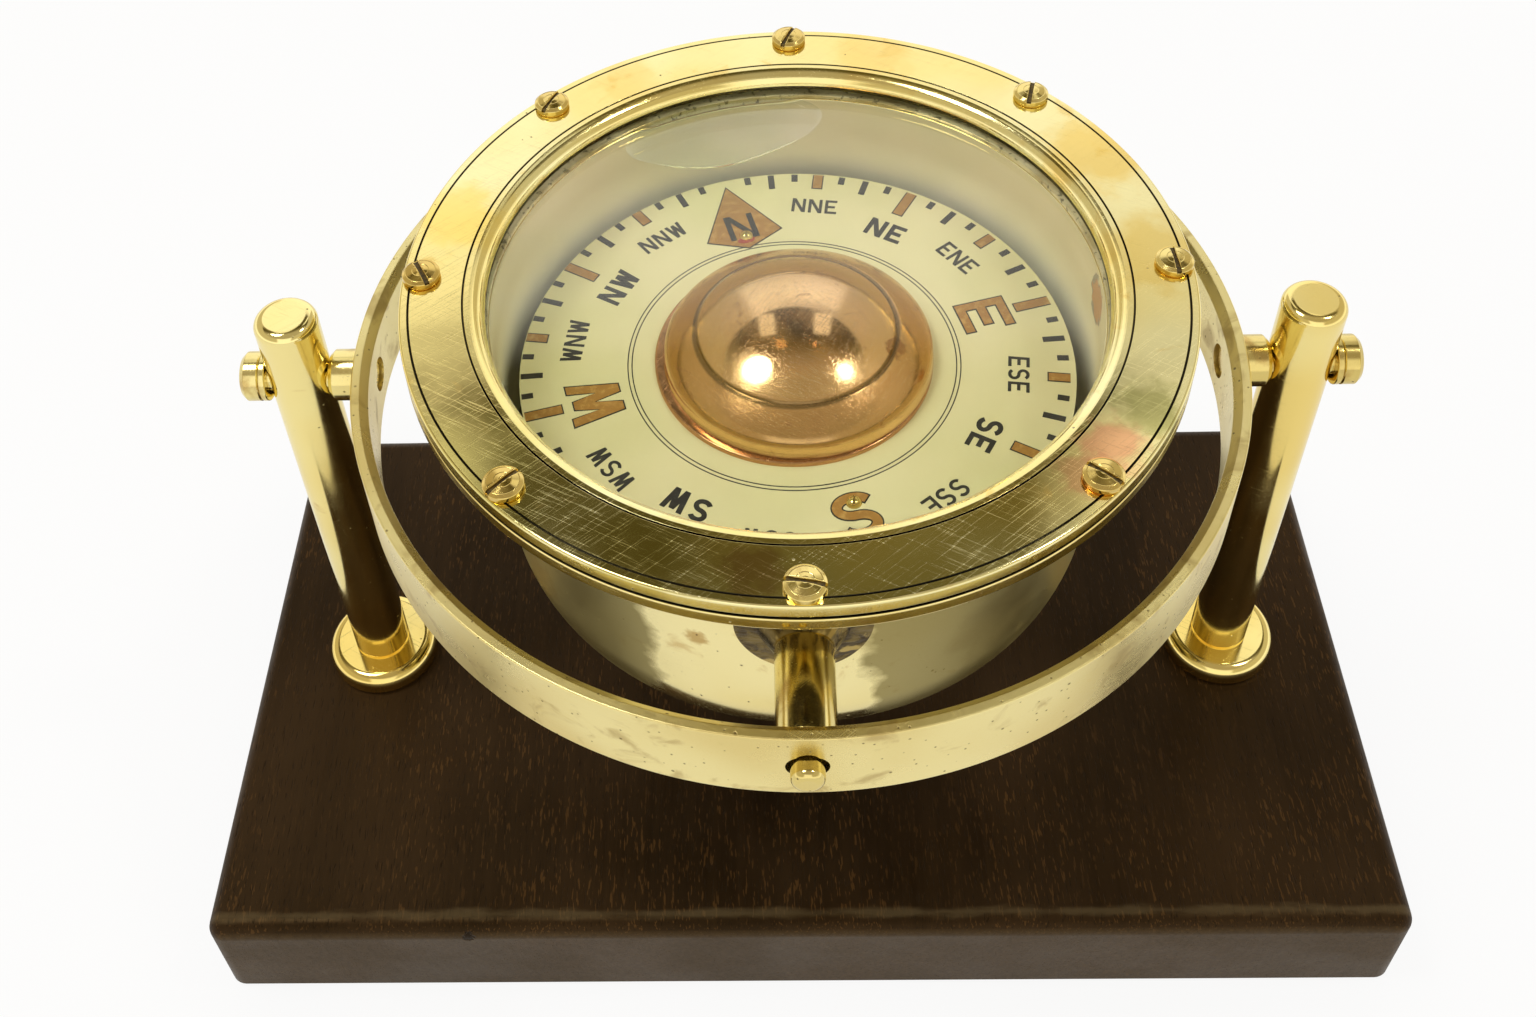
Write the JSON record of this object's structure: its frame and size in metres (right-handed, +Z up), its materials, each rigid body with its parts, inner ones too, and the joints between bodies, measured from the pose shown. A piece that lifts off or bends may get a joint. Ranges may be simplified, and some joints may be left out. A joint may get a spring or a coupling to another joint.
{
  "type": "magnetic compass",
  "caption": "Liquid-filled marine compass: a glazed brass bowl with a floating card, hung in a gimbal ring between posts on a wooden board.",
  "frame": {"origin": "on the surface that the board stands on, straight below the point where the two gimbal axes cross", "axes": "+X towards the right post along the outer gimbal axis, -Y towards the front trunnion, +Z up; north on the card lies near +Y"},
  "size_m": [0.2814, 0.1982, 0.1702],
  "materials": {
    "board_wood": "dark stained hardwood, satin, worn along the front edge",
    "post_brass": "polished, lightly tarnished",
    "pivot_brass": "turned, worn",
    "fixing_steel": "plain",
    "ring_brass": "polished, pitted",
    "bowl_brass": "polished, stained and dented",
    "trunnion_brass": "polished",
    "solder_grey": "dull wiped solder",
    "bezel_brass": "polished, scratched and mottled",
    "screw_brass": "worn",
    "gasket_black": "matt",
    "window_clear": "clear polished",
    "ballast_iron": "rough",
    "card_cream": "printed, aged cream",
    "float_copper": "thin copper sheet, burnished",
    "hard_steel": "ground",
    "jewel_clear": "polished stone"
  },
  "bodies": {
    "stand": {"base_board": "board_wood", "post_left": "post_brass", "post_right": "post_brass", "post_foot_left": "post_brass", "post_foot_right": "post_brass", "hold_down_screws": "fixing_steel", "hold_down_washers": "fixing_steel", "pivot_pin_left": "pivot_brass", "pivot_pin_right": "pivot_brass", "pivot_washers": "pivot_brass", "pivot_collar_left": "pivot_brass", "pivot_collar_right": "pivot_brass"},
    "gimbal": {"gimbal_ring": "ring_brass"},
    "bowl": {"bowl_shell": "bowl_brass", "bowl_flange": "bowl_brass", "trunnion_front": "trunnion_brass", "trunnion_back": "trunnion_brass", "trunnion_saddle_front": "solder_grey", "trunnion_saddle_back": "solder_grey", "glass_gasket_lower": "gasket_black", "window_glass": "window_clear", "glass_gasket_upper": "gasket_black", "bezel_ring": "bezel_brass", "bezel_screws": "screw_brass", "ballast_ring": "ballast_iron", "pivot_stem": "bowl_brass", "pivot_point": "hard_steel", "diaphragm": "bowl_brass", "diaphragm_cover": "bowl_brass", "cover_screws": "screw_brass", "filler_plug": "screw_brass"},
    "card": {"card_disc": "card_cream", "float_dome": "float_copper", "float_cap": "float_copper", "float_base": "float_copper", "jewel_cup": "jewel_clear", "magnet_straps": "pivot_brass", "magnets": "hard_steel", "card_screws": "screw_brass"}
  },
  "joints": [
    {"name": "ring_swing", "type": "hinge", "parent": "stand", "child": "gimbal", "pos_m": [0, 0, 0.13755], "axis": [1, 0, 0], "continuous": true},
    {"name": "bowl_swing", "type": "hinge", "parent": "gimbal", "child": "bowl", "pos_m": [0, 0, 0.13755], "axis": [0, 1, 0], "continuous": true},
    {"name": "card_turn", "type": "hinge", "parent": "bowl", "child": "card", "pos_m": [0, 0, 0.14379], "axis": [0, 0, 1], "continuous": true}
  ]
}
